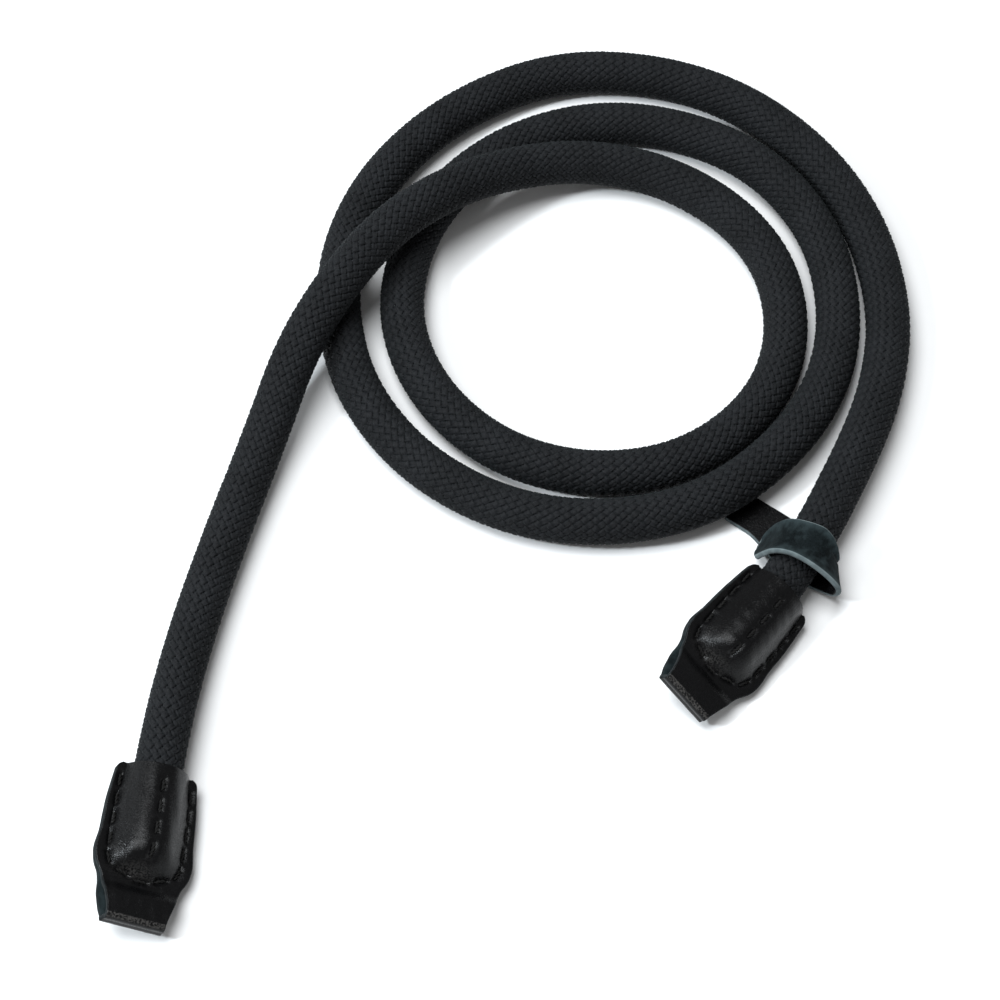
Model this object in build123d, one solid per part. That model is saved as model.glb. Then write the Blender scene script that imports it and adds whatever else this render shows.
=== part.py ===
from build123d import *
import os
from math import acos, atan2, cos, hypot, pi, radians, sin, sqrt, tan

# A braided rope strap that lies in loose turns on a table. Each end of the rope is stitched into a
# folded leather cap whose fold is left open as a flat loop, and a leather keeper slides on the rope
# beside one of the caps. Millimetres, +Z up, the table at Z = 0.

os.makedirs("parts", exist_ok=True)

# ---- rope ----------------------------------------------------------------------------------
ROPE_D = 12.0  # outside of the braided sheath
SHEATH_T = 1.5  # wall of the braided sheath
CORE_FIT = 0.2  # radial gap between sheath and core
BORE_FIT = 0.45  # radial gap between the rope and the leather round it
RUN_SHARE = 0.45  # share of the shorter run that each corner's arc uses up

# ---- leather caps --------------------------------------------------------------------------
LEATHER_T = 1.2  # thickness of the hide
ROPE_IN_CAP = 24.5  # rope held inside each cap
CAP_L = 41.0  # mouth to the outside of the fold
CAP_NOSE_L = 5.2  # length over which the bulge runs out past the rope's end
CAP_MOUTH_HALF_W = 9.8  # half the width of the blank at the mouth
CAP_SIDE_HALF_W = 11.5  # half the width beside the rope
CAP_SIDE_TO_ROPE_END = 5.0  # that place, short of the rope's end
CAP_WIDEST_HALF_W = 11.9  # half the width beside the rope's end
CAP_WIDEST_PAST_ROPE = 0.5  # that place, past the rope's end
CAP_NOSE_HALF_W = 9.95  # half the width where the bulge ends
CAP_NECK_HALF_W = 8.2  # half the width where the loop is fully open
CAP_NECK_PAST_RAMP = 1.0  # that place, past the ramp
CAP_FOLD_HALF_W = 6.8  # half the width at the fold
CAP_CORNER_R = 2.5  # rounded corners at the mouth
PANEL_LAP = 1.0  # the flat borders run this far into the loop's ramp
NOSE_PLAY = 0.5  # room between the rope's end and the leather past it
BORE_LAP = 1.0  # the room past the rope starts this far inside the bore
SEAM_SLIT = 0.16  # the two panels lie on each other with this much between them
LOOP_H = 4.8  # outside height of the loop
LOOP_L = 9.0  # length of the loop, fold included
LOOP_RAMP = 2.4  # length over which the panels part
LEFT_ROLL = 26.0  # degrees each cap leans about the rope, its left side up
RIGHT_ROLL = 30.0

# ---- stitching -----------------------------------------------------------------------------
THREAD_D = 0.8
THREAD_FIT = 0.15  # radial gap between thread and needle hole
THREAD_LIFT = 0.1  # a stitch stands this far off the leather
EDGE_STITCHES = 13  # stitches round each cap
EDGE_SEAM_W = 8.9  # the seam runs this far beside the rope's axis
EDGE_SEAM_START = 4.6  # first needle hole from the mouth
EDGE_SEAM_SHOULDER = 27.2  # the seam leaves the sides here
EDGE_SEAM_NOSE = 30.4  # and meets in the middle here
CENTRE_STITCHES = 4
CENTRE_FIRST = 6.2  # first needle hole of the centre row, from the mouth
CENTRE_PITCH = 5.45
CENTRE_STITCH_L = 2.7
NEEDLE_OVERRUN = 1.0  # needle holes are cut this far past the leather

# ---- taped rope ends -----------------------------------------------------------------------
TAPE_T = 0.25
TAPE_FIT = 0.05
TAPE_L = 10.0
TAPE_END_GAP = 1.0  # bare rope beyond the tape

# ---- keeper --------------------------------------------------------------------------------
KEEPER_T = 1.4
KEEPER_W = 12.6
KEEPER_FIT = 0.8  # radial gap between rope and keeper
KEEPER_FROM_BEND = 10.0  # middle of the keeper from the rope's last bend
KEEPER_REACH = 23.5  # the flat tail's end from the rope's axis
KEEPER_TAIL_TURN = 13.0  # degrees the tail turns off square
KEEPER_TONGUE = 11.5  # the tongue comes down on the tail this far from the rope's axis
KEEPER_TIP_R = 5.0  # rounded tip of the tongue

# ---- the rope's route ----------------------------------------------------------------------
# From its end inside the left cap, over two of its own turns in one long hump, round the inner,
# middle and outer turns, and straight through the keeper into the right cap.
ROUTE = [
    (-80.1, -44.6, 7.8),
    (-78.0, -15.5, 7.8),
    (-73.5, 15.5, 6.1),
    (-66.0, 46.5, 6.0),
    (-57.7, 75.0, 7.0),
    (-48.0, 102.5, 17.5),
    (-30.0, 132.0, 20.5),
    (-11.5, 149.0, 19.5),
    (6.5, 161.8, 13.0),
    (27.0, 168.4, 8.6),
    (49.0, 165.0, 6.2),
    (68.5, 150.5, 6.0),
    (79.5, 130.0, 6.0),
    (80.0, 104.5, 6.0),
    (70.0, 83.5, 6.0),
    (51.0, 68.5, 6.0),
    (27.5, 64.5, 6.0),
    (4.5, 71.0, 6.0),
    (-13.5, 88.0, 6.0),
    (-23.0, 110.5, 6.0),
    (-22.5, 134.0, 6.0),
    (-13.0, 158.0, 6.0),
    (6.0, 176.5, 6.0),
    (30.5, 185.0, 6.0),
    (55.0, 181.5, 6.0),
    (76.5, 169.0, 6.0),
    (91.0, 146.5, 6.0),
    (95.0, 120.5, 6.0),
    (91.0, 95.5, 6.6),
    (78.0, 73.0, 8.0),
    (57.0, 55.0, 8.0),
    (31.0, 49.5, 6.4),
    (5.0, 53.5, 6.0),
    (-18.5, 68.5, 6.0),
    (-34.5, 91.5, 6.0),
    (-40.5, 117.5, 6.0),
    (-39.0, 142.5, 6.0),
    (-28.5, 167.5, 6.0),
    (-9.0, 189.0, 6.0),
    (17.5, 203.0, 6.0),
    (45.0, 203.0, 6.0),
    (70.5, 193.0, 6.0),
    (91.5, 172.5, 6.0),
    (104.0, 147.0, 6.0),
    (108.0, 119.5, 6.0),
    (105.0, 96.5, 6.4),
    (97.0, 73.5, 7.8),
    (76.5, 33.2, 7.8),
    (58.2, 11.1, 7.8),
]

rope_r = ROPE_D / 2
bore_r = rope_r + BORE_FIT
bulge_r = bore_r + LEATHER_T
thread_r = THREAD_D / 2
hole_r = thread_r + THREAD_FIT


def arc_radii(points):
    """The largest radius that each corner's two runs leave room for."""
    radii = []
    for before, here, after in zip(points, points[1:], points[2:]):
        run_in, run_out = Vector(here) - Vector(before), Vector(after) - Vector(here)
        half_turn = radians(run_in.get_angle(run_out)) / 2
        radii.append(RUN_SHARE * min(run_in.length, run_out.length) / tan(half_turn))
    return radii


def tube(points, radius, hole=0.0):
    """A round tube along straight runs joined by tangent arcs."""
    path = FilletPolyline(*points, radius=arc_radii(points))
    section_plane = Plane(origin=path @ 0, z_dir=path % 0)
    section = Circle(radius) - Circle(hole) if hole else Circle(radius)
    return sweep(section_plane * section, path=path), path.length


def cap_place(end, before, roll):
    """Where a cap goes: its X runs out of the rope's end, Z is square to its panels, 0 is its mouth."""
    along = (Vector(end) - Vector(before)).normalized()
    mouth = Vector(end) - along * ROPE_IN_CAP
    side = Vector(0, 0, 1).cross(along)
    level = Plane(origin=mouth, x_dir=along, z_dir=along.cross(side))
    return level.location * Rot(-roll, 0, 0)


def prism(points, half_height):
    """A plate of the given outline, centred on the panels' middle plane."""
    return extrude(make_face(Polyline(*points, close=True)), amount=half_height, both=True)


def mirrored(half):
    """An outline from one of its halves."""
    return half + [(x, -y) for x, y in reversed(half)]


# ---- one cap in its own frame --------------------------------------------------------------
loop_start = CAP_L - LOOP_L
nose_end = ROPE_IN_CAP + CAP_NOSE_L
loop_open = loop_start + LOOP_RAMP
cut_half_w = 2 * CAP_WIDEST_HALF_W
outline = mirrored(
    [
        (0, CAP_MOUTH_HALF_W),
        (ROPE_IN_CAP - CAP_SIDE_TO_ROPE_END, CAP_SIDE_HALF_W),
        (ROPE_IN_CAP + CAP_WIDEST_PAST_ROPE, CAP_WIDEST_HALF_W),
        (nose_end, CAP_NOSE_HALF_W),
        (loop_open + CAP_NECK_PAST_RAMP, CAP_NECK_HALF_W),
        (CAP_L, CAP_FOLD_HALF_W),
    ]
)


def seam_points():
    """Needle holes of the edge seam: down one side, across the nose in a shallow point and back up."""
    seam = Polyline(
        (EDGE_SEAM_START, EDGE_SEAM_W),
        (EDGE_SEAM_SHOULDER, EDGE_SEAM_W),
        (EDGE_SEAM_NOSE, 0),
        (EDGE_SEAM_SHOULDER, -EDGE_SEAM_W),
        (EDGE_SEAM_START, -EDGE_SEAM_W),
    )
    holes = 2 * EDGE_STITCHES
    points = [seam @ (i / (holes - 1)) for i in range(holes)]
    return [(p.X, p.Y) for p in points]


def centre_points():
    """Needle holes of the centre row, in pairs, one pair to a stitch."""
    starts = [CENTRE_FIRST + CENTRE_PITCH * i for i in range(CENTRE_STITCHES)]
    return [(s, 0.0) for start in starts for s in (start, start + CENTRE_STITCH_L)]


def needle_holes(points, half_height):
    """The holes that a row of stitches needs."""
    return [Pos(x, y, 0) * Cylinder(hole_r, 2 * half_height) for x, y in points]


def thread(points, height):
    """One running thread: through each hole, and along the upper and lower faces by turns."""
    level = height + THREAD_LIFT + thread_r
    pieces = []
    for i, (x, y) in enumerate(points):
        pieces.append(Pos(x, y, 0) * Cylinder(thread_r, 2 * level))
        ends = (level, -level)
        pieces += [Pos(x, y, z) * Sphere(thread_r) for z in ends]
        if i + 1 < len(points):
            x2, y2 = points[i + 1]
            z = level if i % 2 == 0 else -level
            length = hypot(x2 - x, y2 - y)
            bar = Plane(origin=(x, y, z), z_dir=(x2 - x, y2 - y, 0)) * Cylinder(
                thread_r, length, align=(Align.CENTER, Align.CENTER, Align.MIN)
            )
            pieces.append(bar)
    return Part() + pieces


def cap_leather():
    """The folded leather: a bulge over the rope, two flat borders and the open loop."""
    half_t = LEATHER_T + SEAM_SLIT / 2
    needle_half_h = bulge_r + NEEDLE_OVERRUN
    blank = prism(outline, bulge_r + LOOP_H)
    corners = blank.edges().filter_by(Axis.Z).group_by(Axis.X)[0]
    blank = fillet(corners, CAP_CORNER_R)
    border_l = loop_start + 2 * PANEL_LAP
    border = Pos(border_l / 2, 0, 0) * Box(border_l, 2 * cut_half_w, 2 * half_t)
    bulge_side = [(0, 0), (0, bulge_r), (ROPE_IN_CAP, bulge_r), (nose_end, half_t), (nose_end, 0)]
    bulge = revolve(make_face(Polyline(*bulge_side, close=True)), axis=Axis.X)
    top, inner = LOOP_H / 2, LOOP_H / 2 - LEATHER_T
    loop_side = [(loop_start - PANEL_LAP, half_t), (loop_start, half_t), (loop_open, top), (CAP_L, top)]
    loop_side = loop_side + [(x, -z) for x, z in reversed(loop_side)]
    eye_side = [(loop_start, SEAM_SLIT / 2), (loop_open, inner), (CAP_L - LEATHER_T, inner)]
    eye_side = eye_side + [(x, -z) for x, z in reversed(eye_side)]
    loop_face, eye_face = (make_face(Polyline(*side, close=True)) for side in (loop_side, eye_side))
    loop = extrude(Plane.XZ * loop_face, amount=cut_half_w, both=True)
    eye = extrude(Plane.XZ * eye_face, amount=cut_half_w, both=True)
    nose_gap = revolve(
        make_face(
            Polyline(
                (ROPE_IN_CAP - BORE_LAP, 0),
                (ROPE_IN_CAP - BORE_LAP, bore_r),
                (ROPE_IN_CAP + NOSE_PLAY, bore_r),
                (nose_end - NOSE_PLAY, SEAM_SLIT / 2),
                (nose_end - NOSE_PLAY, 0),
                close=True,
            )
        ),
        axis=Axis.X,
    )
    slit_l = loop_start + PANEL_LAP
    slit = Pos((slit_l - PANEL_LAP) / 2, 0, 0) * Box(slit_l + PANEL_LAP, 2 * cut_half_w, SEAM_SLIT)
    solid = (border + bulge + loop) & blank
    solid -= [eye, nose_gap, slit]
    solid -= needle_holes(seam_points(), needle_half_h)
    solid -= needle_holes(centre_points(), needle_half_h)
    return solid


def cap_set(side, end, before, roll, bore, rope_cut):
    """Writes one cap with its threads and tape, and returns the holes that its centre row needs."""
    place = cap_place(end, before, roll)
    leather = place * cap_leather() - bore
    tape = Rot(0, 90, 0) * (
        Cylinder(rope_r + TAPE_FIT + TAPE_T, TAPE_L) - Cylinder(rope_r + TAPE_FIT, TAPE_L)
    )
    tape = Pos(ROPE_IN_CAP - TAPE_END_GAP - TAPE_L / 2, 0, 0) * tape
    needle_half_h = bulge_r + NEEDLE_OVERRUN
    tape -= needle_holes(centre_points(), needle_half_h)
    edge = thread(seam_points(), LEATHER_T + SEAM_SLIT / 2)
    stitches = centre_points()
    centre = thread(stitches, bulge_r)
    nodes = {
        f"{side}_cap_leather": leather,
        f"{side}_edge_thread": place * edge,
        f"{side}_centre_thread": place * centre,
        f"{side}_rope_tape": place * tape,
    }
    rope_cut += [place * hole for hole in needle_holes(stitches, needle_half_h)]
    return nodes


# ---- keeper --------------------------------------------------------------------------------
def keeper():
    """One leather strip: a flat tail, a turn round the rope and a tongue that ends on the tail."""
    bend, above = Vector(ROUTE[-2]), Vector(ROUTE[-3])
    along = (above - bend).normalized()
    middle = bend + along * KEEPER_FROM_BEND
    left = Vector(0, 0, 1).cross(along)
    floor = Plane(origin=(middle.X, middle.Y, 0), x_dir=left, z_dir=(0, 0, 1))
    inner, outer = rope_r + KEEPER_FIT, rope_r + KEEPER_FIT + KEEPER_T
    centre_z = outer
    # The tongue leaves the turn round the rope along its tangent, down to the tail's upper face.
    drop = centre_z - KEEPER_T
    reach = hypot(KEEPER_TONGUE, drop)
    leave = acos(inner / reach) - atan2(drop, KEEPER_TONGUE)
    tangent = (sin(leave), -cos(leave))
    length = sqrt(reach**2 - inner**2)
    near = [(r * cos(leave), centre_z + r * sin(leave)) for r in (inner, outer)]
    far = [(x + length * tangent[0], z + length * tangent[1]) for x, z in near]
    foot = (far[1][0], KEEPER_T / 2)
    tongue = make_face(Polyline(near[0], near[1], far[1], foot, (far[0][0], foot[1]), far[0], close=True))
    ring = Pos(0, centre_z) * (Circle(outer) - Circle(inner))
    gap = [
        (0, centre_z),
        (2 * outer * cos(leave), centre_z + 2 * outer * sin(leave)),
        (3 * outer, -outer),
        (0, -outer),
    ]
    ring -= make_face(Polyline(*gap, close=True))
    sole = Pos(KEEPER_TONGUE / 2, KEEPER_T / 2) * Rectangle(KEEPER_TONGUE, KEEPER_T)
    across = floor.location * Plane.XZ.location
    wrap = extrude(across * (ring + tongue + sole), amount=KEEPER_W / 2, both=True)
    tip_x = far[1][0]
    shape = Pos((tip_x - 2 * outer) / 2, 0) * Rectangle(tip_x + 2 * outer, KEEPER_W)
    shape = fillet(shape.vertices().group_by(Axis.X)[-1], KEEPER_TIP_R)
    wrap &= extrude(floor.location * shape, amount=4 * outer)
    tail = Rot(0, 0, -KEEPER_TAIL_TURN) * Pos(KEEPER_REACH / 2, 0) * Rectangle(KEEPER_REACH, KEEPER_W)
    return wrap + extrude(floor.location * tail, amount=KEEPER_T)


if __name__ == "__main__":
    rope_cut = []
    left_bore, _ = tube(ROUTE[:3], bore_r)
    right_bore, _ = tube(ROUTE[-3:], bore_r)
    nodes = cap_set("left", ROUTE[0], ROUTE[1], LEFT_ROLL, left_bore, rope_cut)
    nodes |= cap_set("right", ROUTE[-1], ROUTE[-2], RIGHT_ROLL, right_bore, rope_cut)
    sheath, route_length = tube(ROUTE, rope_r, rope_r - SHEATH_T)
    core, _ = tube(ROUTE, rope_r - SHEATH_T - CORE_FIT)
    nodes["rope_sheath"] = sheath - rope_cut
    nodes["rope_core"] = core - rope_cut
    nodes["keeper_leather"] = keeper()
    for name, shape in nodes.items():
        export_step(shape, f"parts/{name}.step")
    print("corner radii", [round(r, 1) for r in arc_radii(ROUTE)])
    plain = pi * (rope_r**2 - (rope_r - SHEATH_T) ** 2) * route_length
    print("rope length", round(route_length, 1), "sheath volume over section times length")
    print(round(sheath.volume / plain, 5))
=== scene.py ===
"""A braided rope strap with stitched leather caps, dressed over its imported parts."""

import logging
import math
from dataclasses import dataclass, replace
from enum import Enum
from typing import ClassVar

import bpy
import numpy as np
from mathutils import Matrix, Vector


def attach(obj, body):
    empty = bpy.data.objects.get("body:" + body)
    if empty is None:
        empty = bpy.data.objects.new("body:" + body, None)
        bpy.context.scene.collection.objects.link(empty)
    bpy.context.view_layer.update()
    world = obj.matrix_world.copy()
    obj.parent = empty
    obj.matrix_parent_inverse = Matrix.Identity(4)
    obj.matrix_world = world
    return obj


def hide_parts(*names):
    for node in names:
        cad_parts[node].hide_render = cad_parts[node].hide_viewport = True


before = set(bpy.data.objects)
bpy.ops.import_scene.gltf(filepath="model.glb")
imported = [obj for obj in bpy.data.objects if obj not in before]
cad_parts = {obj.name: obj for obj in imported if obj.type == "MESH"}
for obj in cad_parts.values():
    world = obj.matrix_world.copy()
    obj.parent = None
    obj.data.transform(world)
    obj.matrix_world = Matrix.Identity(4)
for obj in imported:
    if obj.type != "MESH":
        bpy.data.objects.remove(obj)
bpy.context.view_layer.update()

log = logging.getLogger("rope_strap")

Colour = tuple[float, float, float, float]
Place = tuple[float, float, float]
Tint = tuple[float, float, float]
Material = bpy.types.Material
Node = bpy.types.Node
NodeTree = bpy.types.NodeTree
Piece = bpy.types.Object
Socket = bpy.types.NodeSocket

# The rope's route, from its end inside the left cap to its end inside the right cap.
ROUTE: list[Place] = [
    (-0.0801, -0.0446, 0.0078),
    (-0.0780, -0.0155, 0.0078),
    (-0.0735, 0.0155, 0.0061),
    (-0.0660, 0.0465, 0.0060),
    (-0.0577, 0.0750, 0.0070),
    (-0.0480, 0.1025, 0.0175),
    (-0.0300, 0.1320, 0.0205),
    (-0.0115, 0.1490, 0.0195),
    (0.0065, 0.1618, 0.0130),
    (0.0270, 0.1684, 0.0086),
    (0.0490, 0.1650, 0.0062),
    (0.0685, 0.1505, 0.0060),
    (0.0795, 0.1300, 0.0060),
    (0.0800, 0.1045, 0.0060),
    (0.0700, 0.0835, 0.0060),
    (0.0510, 0.0685, 0.0060),
    (0.0275, 0.0645, 0.0060),
    (0.0045, 0.0710, 0.0060),
    (-0.0135, 0.0880, 0.0060),
    (-0.0230, 0.1105, 0.0060),
    (-0.0225, 0.1340, 0.0060),
    (-0.0130, 0.1580, 0.0060),
    (0.0060, 0.1765, 0.0060),
    (0.0305, 0.1850, 0.0060),
    (0.0550, 0.1815, 0.0060),
    (0.0765, 0.1690, 0.0060),
    (0.0910, 0.1465, 0.0060),
    (0.0950, 0.1205, 0.0060),
    (0.0910, 0.0955, 0.0066),
    (0.0780, 0.0730, 0.0080),
    (0.0570, 0.0550, 0.0080),
    (0.0310, 0.0495, 0.0064),
    (0.0050, 0.0535, 0.0060),
    (-0.0185, 0.0685, 0.0060),
    (-0.0345, 0.0915, 0.0060),
    (-0.0405, 0.1175, 0.0060),
    (-0.0390, 0.1425, 0.0060),
    (-0.0285, 0.1675, 0.0060),
    (-0.0090, 0.1890, 0.0060),
    (0.0175, 0.2030, 0.0060),
    (0.0450, 0.2030, 0.0060),
    (0.0705, 0.1930, 0.0060),
    (0.0915, 0.1725, 0.0060),
    (0.1040, 0.1470, 0.0060),
    (0.1080, 0.1195, 0.0060),
    (0.1050, 0.0965, 0.0064),
    (0.0970, 0.0735, 0.0078),
    (0.0765, 0.0332, 0.0078),
    (0.0582, 0.0111, 0.0078),
]


class CapSide(Enum):
    """Which end of the rope a cap closes."""

    LEFT = "left"
    RIGHT = "right"


class HideFace(Enum):
    """The faces of a piece of hide, in the order of its materials."""

    GRAIN = 0
    FLESH = 1
    EDGE = 2


# ---- lines -----------------------------------------------------------------------------------
def unit(rows: np.ndarray) -> np.ndarray:
    """Each row scaled to length one."""
    return rows / np.maximum(np.linalg.norm(rows, axis=-1, keepdims=True), 1e-12)


def smooth_rise(value: np.ndarray, start: float, end: float) -> np.ndarray:
    """0 before start, 1 after end, and a soft rise between them."""
    t = np.clip((np.asarray(value, float) - start) / (end - start), 0.0, 1.0)
    return t * t * (3.0 - 2.0 * t)


def through(knots: list[tuple[float, float]], at: np.ndarray) -> np.ndarray:
    """A smooth value through a few knots.

    Args:
        knots: pairs of place and value, in rising order of place.
        at: the places to read.

    Returns:
        The value at each place.
    """
    x, y = np.array(knots, float).T
    slope = np.gradient(y, x)
    at = np.clip(at, x[0], x[-1])
    k = np.clip(np.searchsorted(x, at) - 1, 0, len(x) - 2)
    gap = x[k + 1] - x[k]
    t = (at - x[k]) / gap
    rise = y[k] * (1 + 2 * t) * (1 - t) ** 2 + y[k + 1] * t * t * (3 - 2 * t)
    return rise + gap * (slope[k] * t * (1 - t) ** 2 - slope[k + 1] * t * t * (1 - t))


def waviness(seed: int, places: np.ndarray, length: float, waves: int = 6) -> np.ndarray:
    """A slow seeded unevenness between about -1 and 1.

    Args:
        seed: picks one unevenness out of many.
        places: where to read it, one row of coordinates to a place.
        length: the length of its slowest wave.
        waves: how many waves are added up.

    Returns:
        One value to a place.
    """
    pick = np.random.default_rng(seed)
    total = np.zeros(places.shape[:-1])
    for k in range(waves):
        heading = unit(pick.normal(size=places.shape[-1]))
        total += np.sin(places @ heading * (1 + 0.6 * k) * math.tau / length + pick.uniform(0, 9))
    return total / math.sqrt(waves) * 0.7


@dataclass(frozen=True)
class GuideLine:
    """A line cut into even steps, with three directions carried along it."""

    points: np.ndarray
    distance: np.ndarray
    along: np.ndarray
    side: np.ndarray
    up: np.ndarray

    @classmethod
    def even(cls, points: np.ndarray, step: float) -> "GuideLine":
        """Cuts a line into even steps.

        Args:
            points: the line's points, in order.
            step: the distance between the new ones.

        Returns:
            The line with its directions, which don't twist about it.
        """
        gaps = np.linalg.norm(np.diff(points, axis=0), axis=1)
        reach = np.concatenate([[0.0], np.cumsum(gaps)])
        distance = np.linspace(0.0, reach[-1], max(3, round(reach[-1] / step) + 1))
        even = np.stack([np.interp(distance, reach, axis) for axis in points.T], axis=1)
        along = unit(np.gradient(even, axis=0))
        up = np.empty_like(even)
        carried = np.array([0.0, 0.0, 1.0]) if abs(along[0][2]) < 0.9 else np.array([1.0, 0, 0])
        for k, heading in enumerate(along):
            carried = unit(carried - heading * (carried @ heading))
            up[k] = carried
        return cls(even, distance, along, np.cross(up, along), up)


def spline_points(route: list[Place]) -> np.ndarray:
    """The smooth line that the rope follows.

    Args:
        route: the control points of a NURBS spline, in metres.

    Returns:
        Points read from the spline, in order.
    """
    curve = bpy.data.curves.new("rope_line", "CURVE")
    curve.dimensions = "3D"
    spline = curve.splines.new("NURBS")
    spline.points.add(len(route) - 1)
    for point, place in zip(spline.points, route):
        point.co = (*place, 1.0)
    spline.order_u = 3
    spline.use_endpoint_u = True
    spline.resolution_u = 24
    holder = bpy.data.objects.new("rope_line", curve)
    mesh = bpy.data.meshes.new_from_object(holder)
    points = np.array([v.co for v in mesh.vertices], float)
    bpy.data.meshes.remove(mesh)
    bpy.data.objects.remove(holder)
    bpy.data.curves.remove(curve)
    return points


# ---- meshes ----------------------------------------------------------------------------------
def mesh_piece(
    name: str,
    vertices: np.ndarray,
    faces: np.ndarray,
    materials: list[Material],
    slots: np.ndarray | None = None,
    uv: np.ndarray | None = None,
) -> Piece:
    """Makes an object from arrays of quads.

    Args:
        name: the piece's name.
        vertices: one row of coordinates to a vertex.
        faces: one row of four vertices to a face.
        materials: the piece's materials, in order.
        slots: the material of each face.
        uv: the texture place of each corner of each face.

    Returns:
        The object, linked to the scene and shaded smooth.
    """
    mesh = bpy.data.meshes.new(name)
    mesh.from_pydata(vertices.tolist(), [], faces.tolist())
    for material in materials:
        mesh.materials.append(material)
    if slots is not None:
        mesh.polygons.foreach_set("material_index", slots.astype(np.int32))
    if uv is not None:
        layer = mesh.uv_layers.new(name="UVMap")
        layer.data.foreach_set("uv", uv.astype(np.float32).ravel())
    mesh.polygons.foreach_set("use_smooth", np.ones(len(faces), bool))
    mesh.update()
    piece = bpy.data.objects.new(name, mesh)
    bpy.context.scene.collection.objects.link(piece)
    return piece


def skin(rings: np.ndarray, length: np.ndarray) -> tuple[np.ndarray, np.ndarray, np.ndarray]:
    """Covers a row of closed rings with quads.

    Args:
        rings: the vertices, by ring and by place on the ring.
        length: how far along the piece each ring is.

    Returns:
        Vertices, faces and the texture place of each corner.
    """
    rows, sides, _ = rings.shape
    row, col = np.meshgrid(np.arange(rows - 1), np.arange(sides), indexing="ij")
    row, col = row.ravel(), col.ravel()
    right = (col + 1) % sides
    here, beyond = row * sides, (row + 1) * sides
    faces = np.stack([here + col, here + right, beyond + right, beyond + col], axis=1)
    u = np.stack([col, col + 1, col + 1, col], axis=1) / sides
    v = length[np.stack([row, row, row + 1, row + 1], axis=1)]
    return rings.reshape(-1, 3), faces, np.stack([u, v], axis=2)


def round_rings(line: GuideLine, radius: float | np.ndarray, sides: int) -> np.ndarray:
    """Rings of a round cord about a line.

    Args:
        line: the cord's centreline.
        radius: one radius, or one for each step.
        sides: vertices in a ring.

    Returns:
        The vertices, by ring and by place on the ring.
    """
    angle = np.linspace(0, math.tau, sides, endpoint=False)
    radii = np.broadcast_to(radius, line.distance.shape)[:, None, None]
    ring = np.cos(angle)[None, :, None] * line.side[:, None, :]
    ring = ring + np.sin(angle)[None, :, None] * line.up[:, None, :]
    return line.points[:, None, :] + radii * ring


def merge(parts: list[tuple[np.ndarray, ...]]) -> list[np.ndarray]:
    """Joins several meshes into one.

    Args:
        parts: vertices, faces and texture places of each.

    Returns:
        The same three for all of them together.
    """
    shift = np.cumsum([0] + [len(part[0]) for part in parts[:-1]])
    vertices = np.concatenate([part[0] for part in parts])
    faces = np.concatenate([part[1] + start for part, start in zip(parts, shift)])
    return [vertices, faces, np.concatenate([part[2] for part in parts])]


def rim_places(rows: int, cols: int) -> np.ndarray:
    """The places round the rim of a grid, in order.

    Args:
        rows: how many rows the grid has.
        cols: how many columns.

    Returns:
        The rows of those places, and their columns.
    """
    rim = [(0, j) for j in range(cols)]
    rim += [(i, cols - 1) for i in range(1, rows)]
    rim += [(rows - 1, j) for j in range(cols - 2, -1, -1)]
    rim += [(i, 0) for i in range(rows - 2, 0, -1)]
    return np.array(rim).T


def dress(piece: Piece, body: str, node: str) -> None:
    """Puts a piece on its body, in the place of a CAD part.

    Args:
        piece: the piece.
        body: the body that it rides.
        node: the CAD part that it replaces.
    """
    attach(piece, body)
    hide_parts(node)


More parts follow.
